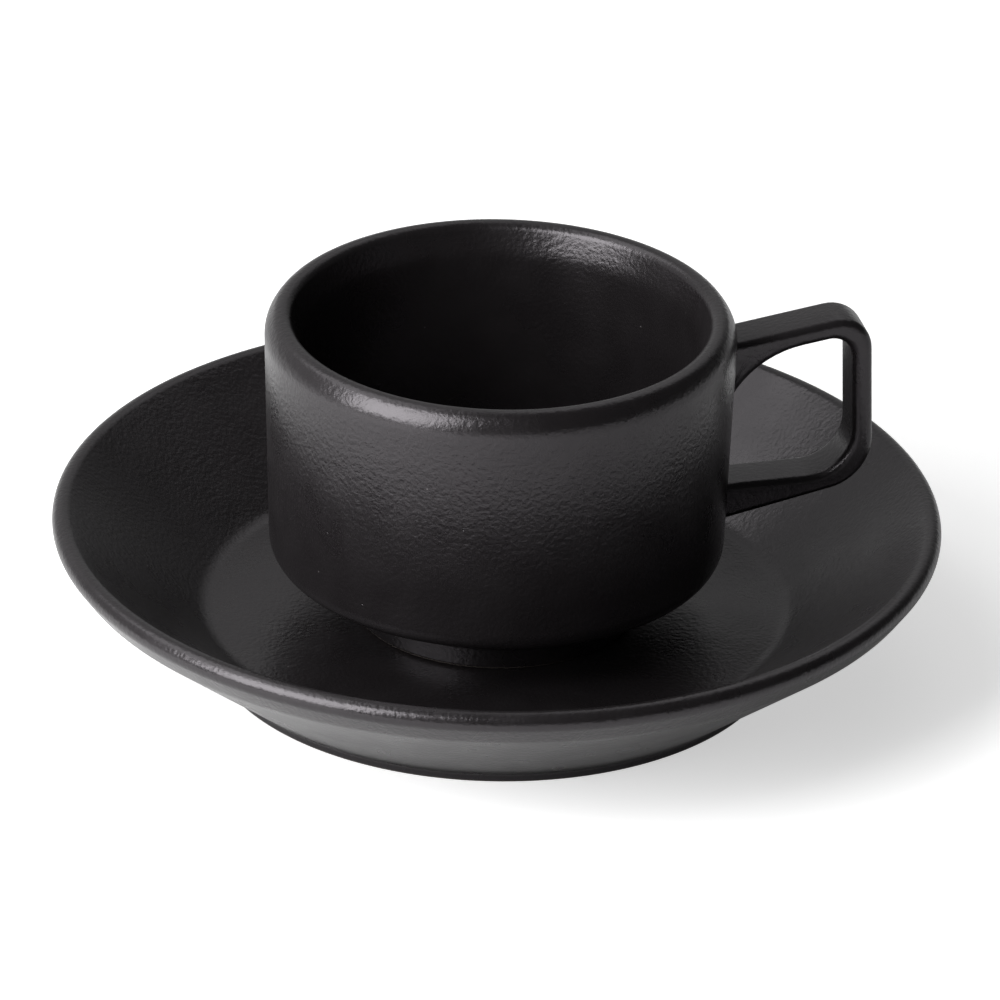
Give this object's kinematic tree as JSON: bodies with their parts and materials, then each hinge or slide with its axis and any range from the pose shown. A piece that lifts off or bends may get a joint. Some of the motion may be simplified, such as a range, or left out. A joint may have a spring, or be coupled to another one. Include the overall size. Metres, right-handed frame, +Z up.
{
  "type": "espresso cup and saucer",
  "caption": "Straight-sided black stoneware espresso cup with a squared loop handle, standing on a deep round saucer with a wide sloping rim.",
  "frame": {"origin": "centre of the saucer's foot ring, on the table", "axes": "+Z up along the axis of saucer and cup, +X out along the cup's handle"},
  "size_m": [0.125, 0.125, 0.0525],
  "materials": {
    "black_glaze": "satin-matte black glaze with a fine pebbled surface"
  },
  "bodies": {
    "saucer": {"saucer": "black_glaze"},
    "cup": {"cup_body": "black_glaze", "cup_handle": "black_glaze"}
  },
  "joints": [
    {"name": "cup_lift", "type": "slide", "parent": "saucer", "child": "cup", "axis": [0, 0, 1], "range_m": [0, 0.06]}
  ]
}
